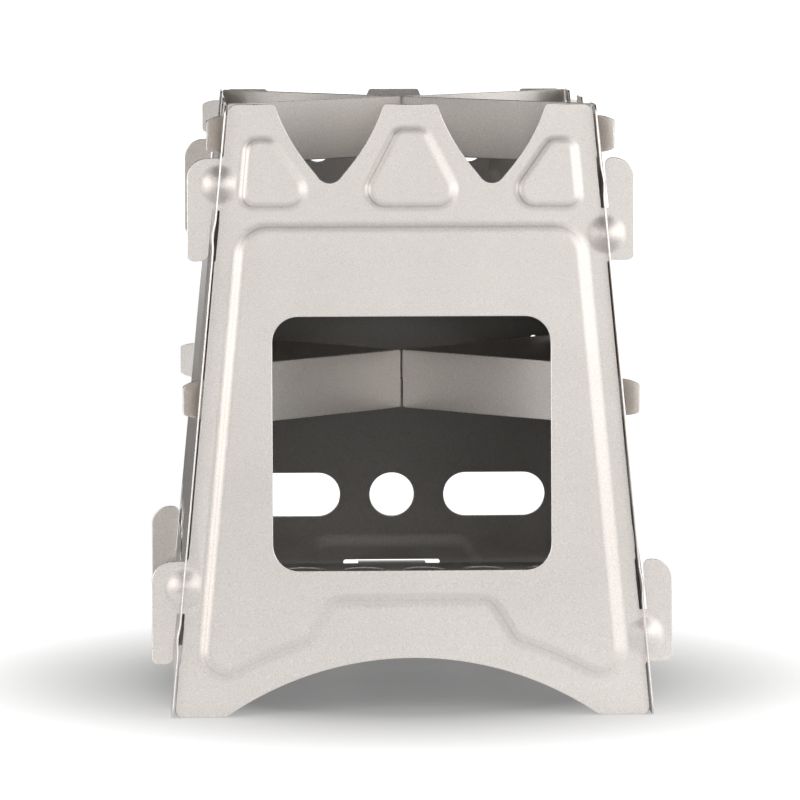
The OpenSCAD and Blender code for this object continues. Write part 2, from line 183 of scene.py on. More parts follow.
# Corners of the slots for tabs, of the open slots' mouths and of the slots for hooks
TAB_SLOT_R = 0.4
MOUTH_R = 0.3
HOOK_SLOT_R = 0.3

# Grate
GRATE_Z = 24.9
GRATE_T = 0.5
GRATE_R = 3
GRATE_GAP = 4.5
GRATE_TAB_W = 20
GRATE_TAB_REACH = 1.2
GRATE_TAB_R = 0.8
HOLE_R = 6
HOLE_PITCH = 17.6
HOLE_N = 6

# Crossed strips
STRIP_T = 0.5
STRIP_H = 16.5
STRIP_INSET = 3
LOWER_MID = 94.4 - STRIP_H / 2
UPPER_MID = STOVE_H - STRIP_H / 2
TAB_ROOT_H = 10.2
TAB_END_H = 7.8
TAB_REACH = 4.3
TAB_BENDS = (0.25, 0.5, 0.75)
TAB_R = 1
SHOULDER_R = 0.6
SHOULDER_GAP = 0.3
LAP_GAP = 0.4
LAP_R = 0.9
SEAT_GAP = 0.05

# Rounding of every cut edge: the full radius, the least, and the share that it takes of the room
# up to the next point and to the foot of a pressing, which is drawn in steps for this
EDGE_R = 0.22
LEAST_EDGE_R = 0.1
EDGE_SHARE = 0.8
FOOT_STEP = 0.2
# The middle of a quarter round, outward and down, as shares of its radius
ROUND_OUT, ROUND_DOWN = 0.71, 0.29

# How finely outlines are drawn, and how close two points of a mesh may come before they are one
ARC_STEPS = 10
ARCH_STEPS = 48
SAME_POINT = 1e-6
CIRCLE_STEPS = 64
POINT_STEP = 1.2
PIN_STEPS = 24
# Share of an edge that a corner may take, the radius of a slot's round end as a share of its
# height, and the least radius of an outline that was moved inward
CORNER_SHARE = 0.93
ROUND_END = 0.499
LEAST_R = 0.4

# Materials: how fine the grain and the soft clouding are, how far the clouding changes the tone
# and the grain the roughness, and the depth of the pits in metres
GRAIN_SCALE = 3000
CLOUD_SCALE = 38
CLOUDING = 0.025
ROUGH_SPREAD = 0.05
PIT_DEPTH = 0.00004
# Painted shade on the walls' inner faces down in the firebox: their tone, the share of that
# darkening that is left at the crown, and the heights in metres between which it fades
INNER_PAINTED_SHADE = 0.38
INNER_SHADE_LEFT = 0.2
INNER_SHADE_FADE = (0.105, 0.15)

# Stage, in metres. The floor's glow is dimmed round the stove as a painted shadow, on top of its
# cast shadow, and is full further out.
PAINTED_SHADOW_GLOW, PAINTED_SHADOW_RIM_GLOW = 0.2, 0.85
PAINTED_SHADOW_REACH = (0.06, 0.13)
FULL_GLOW_AT = 0.2
FLOOR_TONE = 0.55
FLOOR_SIZE = 12
WORLD_LIGHT = 0.7
BLACK, GREY = 0.03, 0.6
LAMPS_AIM = (0, 0, 0.08)


def half_w(v):
    """Half the width of an end sheet at a distance v along it."""
    return BOTTOM_W / 2 - v * math.sin(LEAN)


def half_at(z):
    """Half the width of an end sheet at a height z."""
    return BOTTOM_W / 2 - z * math.tan(LEAN)


# Outlines


def unit(d):
    """Each vector at length 1."""
    return d / np.linalg.norm(d, axis=-1, keepdims=True)


def corner(a, b, c, r):
    """The points of the arc of radius r that rounds corner b between a and c."""
    u1, u2 = unit(a - b), unit(c - b)
    half = math.acos(np.clip(u1 @ u2, -1, 1)) / 2
    room = CORNER_SHARE * min(np.linalg.norm(a - b), np.linalg.norm(c - b))
    reach = min(r / math.tan(half), room)
    arc_r = reach * math.tan(half)
    mid = b + unit(u1 + u2) * arc_r / math.sin(half)
    start, end = b + u1 * reach - mid, b + u2 * reach - mid
    first = math.atan2(start[1], start[0])
    sweep = (math.atan2(end[1], end[0]) - first + math.pi) % (2 * math.pi) - math.pi
    angles = first + sweep * np.linspace(0, 1, ARC_STEPS + 1)
    return mid + arc_r * np.column_stack([np.cos(angles), np.sin(angles)])


def rounded(corners):
    """The loop of points through corners (x, v, radius)."""
    pts = [np.array(c[:2], float) for c in corners]
    n = len(pts)
    arcs = [
        pts[i][None] if corners[i][2] == 0 else corner(pts[i - 1], pts[i], pts[(i + 1) % n], corners[i][2])
        for i in range(n)
    ]
    return np.vstack(arcs)


def inset(corners, d):
    """The corners of an anticlockwise outline moved inward by d."""
    pts = [np.array(c[:2], float) for c in corners]
    moved = []
    for i, b in enumerate(pts):
        e1, e2 = unit(b - pts[i - 1]), unit(pts[(i + 1) % len(pts)] - b)
        n1, n2 = np.array([-e1[1], e1[0]]), np.array([-e2[1], e2[0]])
        q = b + d * (n1 + n2) / (1 + n1 @ n2)
        turn = e1[0] * e2[1] - e1[1] * e2[0]
        r = corners[i][2]
        moved.append((q[0], q[1], 0 if r == 0 else max(r - d if turn > 0 else r + d, LEAST_R)))
    return moved


def mirrored(corners):
    """The same corners on the other side, in the order that keeps the outline's sense."""
    return [(-x, v, r) for x, v, r in reversed(corners)]


def spaced(loop, step=POINT_STEP):
    """The loop with points added, so that no two neighbours are further apart than step."""
    parts = []
    for a, b in zip(loop, np.roll(loop, -1, axis=0)):
        n = max(1, math.ceil(np.linalg.norm(b - a) / step))
        parts.append(a + (b - a) * np.arange(n)[:, None] / n)
    return np.vstack(parts)


def circle(x, v, r, steps=CIRCLE_STEPS):
    """A round loop of points."""
    a = 2 * math.pi * np.arange(steps) / steps
    return np.column_stack([x + r * np.cos(a), v + r * np.sin(a)])


def box_corners(x, v, w, h, r):
    """The rounded rectangle centred on (x, v)."""
    return [(x + sx * w / 2, v + sv * h / 2, r) for sx, sv in ((-1, -1), (1, -1), (1, 1), (-1, 1))]


def round_slot(x, v, w, h):
    """A slot with round ends."""
    return rounded(box_corners(x, v, w, h, ROUND_END * h))


def hook_edge(v, tongue_up):
    """A hook on the right-hand edge and the slit behind its tongue, from low to high."""
    top, out = v + HOOK_H, half_w(v + HOOK_H / 2) + HOOK_REACH
    tip, root = (top, v + HOOK_ROOT_H) if tongue_up else (v, top - HOOK_ROOT_H)
    slit = [
        (half_w(tip) + SLIT_W, tip, HOOK_TIP_R),
        (half_w(root) + SLIT_W, root, SLIT_R),
        (half_w(root) - EDGE_CUT, root, SLIT_R),
        (half_w(tip) - EDGE_CUT, tip, SLIT_R),
        (half_w(tip), tip, SLIT_R),
    ]
    if tongue_up:
        return [(half_w(v), v, HOOK_FILLET_R), (out, v, HOOK_TIP_R), (out, top, HOOK_TOP_R)] + slit
    return slit[::-1] + [(out, v, HOOK_TIP_R), (out, top, HOOK_TOP_R), (half_w(top), top, HOOK_FILLET_R)]


def root_span(v, tongue_up):
    """Where a hook at v is joined to its wall."""
    return (v, v + HOOK_ROOT_H) if tongue_up else (v + HOOK_H - HOOK_ROOT_H, v + HOOK_H)


def slit_span(v, tongue_up):
    """Where a hook at v stands free of its wall."""
    return (v + HOOK_ROOT_H, v + HOOK_H) if tongue_up else (v, v + HOOK_H - HOOK_ROOT_H)


def crown_half():
    """The right half of the crown's notch, from the outer point to the middle one."""
    return [
        (NOTCH_X + NOTCH_HALF_W, SLANT_H, NOTCH_EDGE_R),
        (NOTCH_X + NOTCH_WAIST, SLANT_H - NOTCH_WAIST_DEPTH, NOTCH_WAIST_R),
        (NOTCH_X, SLANT_H - NOTCH_DEPTH, NOTCH_R),
        (NOTCH_X - NOTCH_WAIST, SLANT_H - NOTCH_WAIST_DEPTH, NOTCH_WAIST_R),
        (NOTCH_X - NOTCH_HALF_W, SLANT_H, NOTCH_EDGE_R),
    ]


def wall_outline(right, left, extra):
    """A wall's outline. right and left hold what stands on its edges, from low to high."""

    def half(edge):
        """The right half, from the arch to the crown's point."""
        return (
            [(ARCH_FOOT_X, 0, ARCH_FOOT_R), (half_w(0) + extra, 0, FOOT_R)]
            + edge
            + [(half_w(SLANT_H) + extra, SLANT_H, CROWN_R)]
        )

    xs = np.linspace(-ARCH_SPAN, ARCH_SPAN, ARCH_STEPS)
    arch = [(x, ARCH_V + math.sqrt(ARCH_R**2 - x**2), 0) for x in xs]
    slots_right, slots_left = ([], []) if extra == 0 else (strip_slot(), mirrored(strip_slot()))
    return rounded(
        half(right)
        + slots_right
        + crown_half()
        + mirrored(crown_half())
        + slots_left
        + mirrored(half(left))
        + arch
    )


def on_low_arc(p, q, arc_r):
    """Where the line x = p - q * v meets the field's lower arc."""
    a, b, c = q * q + 1, -2 * p * q - 2 * ARCH_V, p * p + ARCH_V**2 - arc_r**2
    return (-b + math.sqrt(b * b - 4 * a * c)) / (2 * a)


def field_corners(steps=12):
    """The large pressed field. Its lower edge follows the arch and has a recess in the middle."""
    arc_r = ARCH_R + FIELD_RISE
    foot_v = on_low_arc(RECESS_HALF_W + RECESS_TOP * RECESS_SLOPE, RECESS_SLOPE, arc_r)
    foot_x = RECESS_HALF_W + (RECESS_TOP - foot_v) * RECESS_SLOPE
    rise = math.sqrt(arc_r**2 - FIELD_REACH**2)
    slope = FIELD_REACH / rise
    side = half_w(0) - FIELD_MARGIN
    corner_v = (ARCH_V + rise - slope * (side - FIELD_REACH)) / (1 - slope * math.sin(LEAN))
    top = SLANT_H - FIELD_DROP
    arc = [foot_x + (FIELD_REACH - foot_x) * i / steps for i in range(1, steps + 1)]
    half = (
        [(RECESS_HALF_W, RECESS_TOP, RECESS_R), (foot_x, foot_v, RECESS_R)]
        + [(x, ARCH_V + math.sqrt(arc_r**2 - x * x), 0) for x in arc]
        + [
            (side - corner_v * math.sin(LEAN), corner_v, FIELD_FOOT_R),
            (side - top * math.sin(LEAN), top, FIELD_R),
        ]
    )
    return half + mirrored(half)


def triangle_corners():
    """The middle triangle and the right-hand one of the crown."""
    base, top, out_top = SLANT_H - TRI_BASE_DROP, SLANT_H - TRI_MID_DROP, SLANT_H - TRI_OUT_DROP
    middle = [
        (-TRI_MID_BASE, base, TRI_BASE_R),
        (TRI_MID_BASE, base, TRI_BASE_R),
        (TRI_MID_TOP, top, TRI_TOP_R),
        (-TRI_MID_TOP, top, TRI_TOP_R),
    ]
    outer = [
        (TRI_OUT_BASE, base, TRI_BASE_R),
        (half_w(base) - TRI_OUT_MARGIN, base, TRI_TOP_R),
        (half_w(out_top) - TRI_OUT_MARGIN, out_top, TRI_TOP_R),
        (TRI_OUT_TOP, out_top, TRI_TOP_R),
    ]
    return middle, outer


def pressings():
    """Each pressing's corners, the width of its sloping wall, its height and the strength of its painted
    crease shade.
    """
    middle, outer = triangle_corners()
    triangles = [(t, TRI_RUN, TRI_H, TRI_CREASE_SHADE) for t in (middle, outer, mirrored(outer))]
    return [(field_corners(), FIELD_RUN, FIELD_H, FIELD_CREASE_SHADE)] + triangles


def press_profile(run, top):
    """Distance in from the outline, height, slope and line, across the wall of a pressing."""
    reach = run / 2 + PRESS_SOFT
    near = LINE_REACH * LINE_WIDTH
    fine = np.linspace(-near, near, LINE_STEPS)[1:-1]
    d = np.concatenate([np.linspace(-reach, -near, WALL_STEPS), fine, np.linspace(near, reach, WALL_STEPS)])
    s = (d + reach) / (2 * reach)
    return d, top * s * s * (3 - 2 * s), 3 * top * s * (1 - s) / reach, np.exp(-((d / LINE_WIDTH) ** 2))


def eased(across):
    """Directions across a wall, shortened where the die has drawn the wall to a gentler slope."""
    up = across[:, 1:]
    return across * (1 - (1 - FOOT_EASE) * np.clip(up, 0, 1) - (1 - TOP_EASE) * np.clip(-up, 0, 1))


def crease_shade_strength(across, strength):
    """How dark the painted crease shade is on walls that rise this way, as light falls on them. strength is
    left, foot and top.
    """
    left, foot, top = strength
    x, v = across[:, 0], across[:, 1]
    return left * np.clip(x, 0, 1) + foot * np.clip(v, 0, 1) + top * np.clip(-v, 0, 1)


# Meshes of sheets


def inside(points, loops):
    """Whether each point lies inside an odd number of the closed loops."""
    odd = np.zeros(len(points), bool)
    for loop in loops:
        for a, b in zip(loop, np.roll(loop, -1, axis=0)):
            spans = (a[1] > points[:, 1]) != (b[1] > points[:, 1])
            if spans.any():
                at = a[0] + (points[:, 1] - a[1]) * (b[0] - a[0]) / (b[1] - a[1] if b[1] != a[1] else 1)
                odd ^= spans & (points[:, 0] < at)
    return odd


def turned_in(loop):
    """Unit directions from each point of a loop to its left, and how far a miter reaches."""
    ahead = unit(np.roll(loop, -1, axis=0) - loop)
    left = np.column_stack([-ahead[:, 1], ahead[:, 0]])
    before = np.roll(left, 1, axis=0)
    return unit(left + before), 1 / np.sqrt((1 + (left * before).sum(1)) / 2)


def edge_radius(loop, feet):
    """Radius of the rounded free edge at each point, smaller in tight corners and beside pressings."""
    step = np.linalg.norm(np.roll(loop, -1, axis=0) - loop, axis=1)
    # the three steps on each side of the point
    room = [np.roll(step, k) for k in range(-2, 4)]
    room += [np.sqrt(((loop[:, None] - foot) ** 2).sum(2)).min(1) for foot in feet]
    return np.clip(EDGE_SHARE * np.min(room, axis=0), LEAST_EDGE_R, EDGE_R)


class Sheet:
    """One sheet of metal: its front skin, the same skin behind, and a rounded rim between them."""

    def __init__(self, thickness, caps=()):
        self.thickness = thickness
        self.caps = caps
        self.points, self.normals, self.lines = [], [], []
        self.faces = []
        self.count = 0

    def cap_height(self, xy):
        """Height and slope of the domes at each point."""
        h, grad = np.zeros(len(xy)), np.zeros((len(xy), 2))
        for x, v, r, top in self.caps:
            away = xy - (x, v)
            s = np.clip(1 - (away**2).sum(1) / r**2, 0, 1)
            h += top * s**2
            grad += (-4 * top / r**2 * s)[:, None] * away
        return h, grad

    def add(self, xy, w, normals, line=0):
        """Adds points at height w, and gives their numbers. line is how dark the painted crease shade is
        there.
        """
        self.points.append(np.column_stack([xy, np.broadcast_to(w, len(xy))]))
        self.normals.append(unit(normals))
        self.lines.append(np.broadcast_to(line, len(xy)))
        self.count += len(xy)
        return np.arange(self.count - len(xy), self.count)

    def add_flat(self, xy, w):
        """Points of the flat skin, raised where a dome is."""
        h, grad = self.cap_height(xy)
        return self.add(xy, w + h, np.column_stack([-grad, np.ones(len(xy))]))

    def strip(self, low, high, faces):
        """Quads between two closed rows of numbered points."""
        after_low, after_high = np.roll(low, -1), np.roll(high, -1)
        faces += np.column_stack([low, after_low, after_high, high]).tolist()

    def fill(self, loops, numbers, extra_xy, extra_numbers):
        """Triangles over the area between closed loops of numbered points."""
        edges, start = [], 0
        for loop in loops:
            n = len(loop)
            edges += [(start + i, start + (i + 1) % n) for i in range(n)]
            start += n
        xy = np.vstack(list(loops) + [extra_xy])
        number = np.concatenate(list(numbers) + [extra_numbers]).astype(int)
        made = delaunay_2d_cdt([Vector(p) for p in xy], edges, [], 0, SAME_POINT)
        source = [ids[0] for ids in made[3]]
        corners = np.array([[source[i] for i in face] for face in made[2]])
        keep = inside(xy[corners].mean(1), loops)
        self.faces += number[corners[keep]].tolist()

    def mesh(self, name, front_loops, place):
        """The finished mesh. front_loops are the free edges: numbers, way in and radius at each point."""
        front, up = np.vstack(self.points), np.vstack(self.normals)
        n = len(front)
        back = front - (0, 0, self.thickness)
        co, normals = [front, back], [up, -up]
        faces = self.faces + [[i + n for i in reversed(f)] for f in self.faces]
        count = 2 * n
        rim = []
        for ids, inward, radius in front_loops:
            rows = [ids]
            for out, depth in ((ROUND_OUT, ROUND_DOWN), (1, 1), (1, -1), (ROUND_OUT, -ROUND_DOWN)):
                drop = radius * depth if depth > 0 else self.thickness + radius * depth
                tilt = 0 if out == 1 else math.copysign(1, depth)
                co.append(front[ids] - np.column_stack([inward * out, drop]))
                normals.append(unit(np.column_stack([-unit(inward), np.full(len(ids), tilt)])))
                rows.append(np.arange(count, count + len(ids)))
                count += len(ids)
            rows.append(ids + n)
            for low, high in zip(rows, rows[1:]):
                self.strip(low, high, rim)
        mesh = finish_mesh(name, np.vstack(co), np.vstack(normals), faces, rim, place)
        # Painted shade along each pressing's crease, on the front skin only, kept in the line attribute
        line = np.zeros(len(mesh.vertices))
        line[:n] = np.concatenate(self.lines)
        mesh.attributes.new("line", "FLOAT", "POINT").data.foreach_set("value", line)
        # The inner skin of a wall, within the box's width, is marked for painted shade in the inner
        # attribute
        inner = np.zeros(len(mesh.vertices))
        inner[n : 2 * n] = np.abs(front[:, 0]) < half_w(front[:, 1])
        mesh.attributes.new("inner", "FLOAT", "POINT").data.foreach_set("value", inner)
        return mesh


def finish_mesh(name, co, normals, faces, rim, place):
    """A Blender mesh in metres, with each face turned the way its corners' normals point."""
    turn = np.array(place.to_3x3())
    co = co @ turn.T + np.array(place.translation)
    normals = normals @ turn.T
    co = np.clip(co, np.array(cad_low) / MM, np.array(cad_high) / MM)
    everything = faces + rim
    for i, f in enumerate(everything):
        a, b, c = co[f[0]], co[f[1]], co[f[2]]
        if np.cross(b - a, c - a) @ normals[f].sum(0) < 0:
            everything[i] = f[::-1]
    mesh = bpy.data.meshes.new(name)
    mesh.from_pydata((co * MM).tolist(), [], everything)
    mesh.polygons.foreach_set("use_smooth", [True] * len(everything))
    mesh.polygons.foreach_set("material_index", [0] * len(faces) + [1] * len(rim))
    mesh.normals_split_custom_set_from_vertices(normals.tolist())
    return mesh


def make_sheet(name, outline, holes, pressed, caps, thickness, place):
    """A sheet with pressings, domes and holes. outline is anticlockwise, and holes are loops."""
    sheet = Sheet(thickness, caps)
    walls = []
    for corners, run, top, strength in pressed:
        d, *profile = press_profile(run, top)
        walls.append(([rounded(inset(corners, x)) for x in d], *profile, strength))

    feet = [spaced(wall[0][0], FOOT_STEP) for wall in walls]
    free = []
    for loop in [spaced(outline)] + [spaced(h)[::-1] for h in holes]:
        direction, miter = turned_in(loop)
        radius = edge_radius(loop, feet)
        inward = direction * (miter * radius)[:, None]
        free.append((loop + inward, inward, radius))

    plateaus = [wall[0][-1] for wall in walls]
    home = [home_of(loop[0], plateaus) for loop, _, _ in free]
    level = [walls[h][1][-1] if h >= 0 else 0 for h in home]
    free_ids = [sheet.add_flat(loop, w) for (loop, _, _), w in zip(free, level)]

    first_ids, last_ids = [], []
    for rings, heights, slopes, lines, strength in walls:
        rows = []
        for k, ring in enumerate(rings):
            across = unit(rings[min(k + 1, len(rings) - 1)] - rings[max(k - 1, 0)])
            tilt = np.column_stack([-slopes[k] * eased(across), np.ones(len(ring))])
            rows.append(sheet.add(ring, heights[k], tilt, lines[k] * crease_shade_strength(across, strength)))
        for low, high in zip(rows, rows[1:]):
            sheet.strip(low, high, sheet.faces)
        first_ids.append(rows[0])
        last_ids.append(rows[-1])

    def region(mine, ring_loops, ring_ids, extra):
        """Fills the area between the free edges on it, the rings round it and the extra points."""
        loops = [free[i][0] for i in mine] + ring_loops
        ids = [free_ids[i] for i in mine] + ring_ids
        extra_ids = sheet.add_flat(extra, 0) if len(extra) else np.zeros(0, int)
        sheet.fill(loops, ids, extra, extra_ids)

    base = [i for i, h in enumerate(home) if h < 0]
    spots = dome_points(caps, [free[i][0] for i in base])
    region(base, [w[0][0] for w in walls], first_ids, spots)
    for k, wall in enumerate(walls):
        inner = [i for i, h in enumerate(home) if h == k]
        region(inner, [wall[0][-1]], [last_ids[k]], np.zeros((0, 2)))

    loops = [(ids, inward, radius) for ids, (_, inward, radius) in zip(free_ids, free)]
    return sheet.mesh(name, loops, place)


def home_of(point, plateaus):
    """Which plateau a hole lies on, or -1 on the sheet itself."""
    for k, ring in enumerate(plateaus):
        if inside(np.array([point]), [ring])[0]:
            return k
    return -1


def dome_points(caps, loops):
    """Rings of points over each dome, clear of the free edges."""
    spots = []
    for x, v, r, _ in caps:
        spots.append(np.array([[x, v]]))
        for share in DOME_RINGS:
            spots.append(circle(x, v, share * r, DOME_STEPS))
    if not spots:
        return np.zeros((0, 2))
    xy = np.vstack(spots)
    edge = np.vstack(loops)
    clear = np.array([np.min(((edge - p) ** 2).sum(1)) > DOME_CLEAR**2 for p in xy])
    return xy[clear & inside(xy, loops)]


# Placing sheets


def standing(out, turn):
    """A leaning sheet whose outer face stands this far from the axis at the ground."""
    stand = Matrix.Translation((0, -out, 0)) @ Matrix.Rotation(math.pi / 2 - LEAN, 4, "X")
    return Matrix.Rotation(math.radians(turn), 4, "Z") @ stand


def strip_angle(z):
    """Plan angle of a strip whose middle is at height z."""
    return math.atan((half_at(z) - STRIP_INSET) / (half_at(z) + EDGE_GAP + SHEET_T / 2))


def vents():
    """Openings of a vented wall."""
    long_x = VENT_X + VENT_L / 2
    holes = [circle(0, VENT_V, VENT_H / 2)]
    for s in (-1, 1):
        holes.append(round_slot(s * long_x, VENT_V, VENT_L, VENT_H))
        holes.append(circle(s * PIN_X, PIN_V, PIN_R, PIN_STEPS))
    slot_v = (GRATE_Z + GRATE_T / 2) / math.cos(LEAN)
    holes.append(round_slot(0, slot_v, GRATE_SLOT_W, GRATE_SLOT_H))
    return holes


def slot_x(mid, z):
    """Where a strip of that middle height crosses the side sheet at height z, and half the slot."""
    angle = strip_angle(mid)
    x = (half_at(z) + EDGE_GAP + SHEET_T / 2) * math.tan(angle)
    half = (STRIP_T / 2 + FIT_GAP) / math.cos(angle) + SHEET_T / 2 * math.tan(angle)
    return x, half


def strip_slot():
    """Open slot in the crown that an upper strip drops into, from its outer side to its inner."""
    low = UPPER_MID - TAB_ROOT_H / 2 - SEAT_GAP
    (x_top, half), (x_low, _) = slot_x(UPPER_MID, STOVE_H), slot_x(UPPER_MID, low)
    low_v = low / math.cos(LEAN)
    return [
        (x_top + half, SLANT_H, MOUTH_R),
        (x_low + half, low_v, TAB_SLOT_R),
        (x_low - half, low_v, TAB_SLOT_R),
        (x_top - half, SLANT_H, MOUTH_R),
    ]


def side_holes():
    """Slots of a side sheet for the hooks' roots and for the lower strips."""
    holes = vents()
    low, high = LOWER_MID - TAB_ROOT_H / 2 - FIT_GAP, LOWER_MID + TAB_ROOT_H / 2 + FIT_GAP
    (x_low, half), (x_high, _) = slot_x(LOWER_MID, low), slot_x(LOWER_MID, high)
    v_low, v_high = low / math.cos(LEAN), high / math.cos(LEAN)
    slot = [
        (x_low - half, v_low, TAB_SLOT_R),
        (x_low + half, v_low, TAB_SLOT_R),
        (x_high + half, v_high, TAB_SLOT_R),
        (x_high - half, v_high, TAB_SLOT_R),
    ]
    holes += [rounded(slot), rounded(mirrored(slot))]
    for edge in (-1, 1):
        for v in HOOK_LEVELS:
            low, high = root_span(v, edge < 0)
            low, high = low - FIT_GAP, high + FIT_GAP
            near, far = -SHEET_T - FIT_GAP, DOME_H + FIT_GAP
            hook_slot = [
                (half_w(low) + near, low, HOOK_SLOT_R),
                (half_w(low) + far, low, HOOK_SLOT_R),
                (half_w(high) + far, high, HOOK_SLOT_R),
                (half_w(high) + near, high, HOOK_SLOT_R),
            ]
            holes.append(rounded(hook_slot if edge > 0 else mirrored(hook_slot)))
    return holes


def end_sheet(name, turn, holes):
    """The front or back wall."""
    right = hook_edge(HOOK_LEVELS[0], True) + hook_edge(HOOK_LEVELS[1], True)
    left = hook_edge(HOOK_LEVELS[0], False) + hook_edge(HOOK_LEVELS[1], False)
    caps = []
    for side in (-1, 1):
        for v in HOOK_LEVELS:
            mid = sum(root_span(v, side > 0)) / 2
            caps.append((side * (half_w(mid) + EDGE_GAP), mid, DOME_R * DOME_FADE, DOME_RISE))
    outline = wall_outline(right, left, 0)
    place = standing(BOTTOM_W / 2, turn)
    return make_sheet(name, outline, holes, pressings(), caps, SHEET_T, place)


def side_sheet(name, turn):
    """The left or right wall."""
    caps = []
    for edge in (-1, 1):
        for v in HOOK_LEVELS:
            mid = sum(slit_span(v, edge < 0)) / 2
            caps.append((edge * (half_w(mid) - SHEET_T / 2), mid, BUMP_R * DOME_FADE, BUMP_H))
    outline = wall_outline([], [], SIDE_OVERHANG)
    place = standing(BOTTOM_W / 2 + SIDE_OUT, turn)
    return make_sheet(name, outline, side_holes(), pressings(), caps, SHEET_T, place)


def grate_plate(name):
    """The perforated plate, with tabs in the back and side walls."""
    top = GRATE_Z + GRATE_T
    x_in = half_at(top) + EDGE_GAP - FIT_GAP
    y_in = half_at(top) - SHEET_T - GRATE_GAP
    side, back, tab = half_at(GRATE_Z) + SIDE_OUT, half_at(GRATE_Z), GRATE_TAB_W / 2
    side, back = side + GRATE_TAB_REACH, back + GRATE_TAB_REACH
    right = [
        (x_in, -y_in, GRATE_R),
        (x_in, -tab, SLIT_R),
        (side, -tab, GRATE_TAB_R),
        (side, tab, GRATE_TAB_R),
        (x_in, tab, SLIT_R),
        (x_in, y_in, GRATE_R),
        (tab, y_in, SLIT_R),
        (tab, back, GRATE_TAB_R),
    ]
    outline = rounded(right + mirrored(right))
    spots = [(i - (HOLE_N - 1) / 2) * HOLE_PITCH for i in range(HOLE_N)]
    holes = [circle(x, y, HOLE_R) for x in spots for y in spots]
    place = Matrix.Translation((0, 0, top))
    return make_sheet(name, outline, holes, [], [], GRATE_T, place)


def strip_plate(name, way, mid, low_x, high_x, notch_up):
    """A crossed strip with its tabs and half-height notch, drawn across x and height."""
    run = math.cos(strip_angle(mid))
    out, tip = half_at(mid) + SIDE_OUT, half_at(mid) + SIDE_OUT + TAB_REACH
    root, end = TAB_ROOT_H / 2, TAB_END_H / 2
    slope = (high_x - low_x) / STRIP_H
    low_root = low_x + slope * (STRIP_H / 2 - root)
    high_root = high_x - slope * (STRIP_H / 2 - root)
    bend = [(out + TAB_REACH * s, root - (root - end) * s * s) for s in TAB_BENDS]
    right = (
        [(low_x, -STRIP_H / 2, SHOULDER_R), (low_root, -root, SLIT_R)]
        + [(x, -h, 0) for x, h in bend]
        + [(tip, -end, TAB_R), (tip, end, TAB_R)]
        + [(x, h, 0) for x, h in reversed(bend)]
        + [(high_root, root, SLIT_R), (high_x, STRIP_H / 2, SHOULDER_R)]
    )
    right = [(x / run, v, r) for x, v, r in right]
    across = math.pi - 2 * strip_angle(mid)
    notch = (STRIP_T / 2 + LAP_GAP) / math.sin(across) + STRIP_T / 2 / abs(math.tan(across))
    if notch_up:
        cut = [(notch, STRIP_H / 2, LAP_R), (notch, -LAP_GAP / 2, SLIT_R)]
        corners = right + cut + mirrored(cut) + mirrored(right)
    else:
        cut = [(notch, LAP_GAP / 2, SLIT_R), (notch, -STRIP_H / 2, LAP_R)]
        corners = cut + right + mirrored(right) + mirrored(cut)
    turn = Matrix.Rotation(way * strip_angle(mid), 4, "Z") @ Matrix.Rotation(math.pi / 2, 4, "X")
    place = Matrix.Translation((0, 0, mid)) @ turn @ Matrix.Translation((0, 0, STRIP_T / 2))
    return make_sheet(name, rounded(corners), [], [], [], STRIP_T, place)


# Materials


def noise(nodes, links, coords, scale, detail):
    """Noise of that scale, from 0 to 1."""
    tex = nodes.new("ShaderNodeTexNoise")
    tex.inputs["Scale"].default_value = scale
    tex.inputs["Detail"].default_value = detail
    links.new(coords, tex.inputs["Vector"])
    return tex.outputs["Fac"]


def mapped(nodes, links, value, low, high, from_low=0.3, from_high=0.7):
    """The value's range, by default the middle of a noise, stretched to low and high."""
    node = nodes.new("ShaderNodeMapRange")
    node.inputs["From Min"].default_value = from_low
    node.inputs["From Max"].default_value = from_high
    node.inputs["To Min"].default_value = low
    node.inputs["To Max"].default_value = high
    links.new(value, node.inputs["Value"])
    return node.outputs["Result"]


def multiplied(nodes, links, a, b):
    """The product of two sockets."""
    node = nodes.new("ShaderNodeMath")
    node.operation = "MULTIPLY"
    links.new(a, node.inputs[0])
    links.new(b, node.inputs[1])
    return node.outputs["Value"]


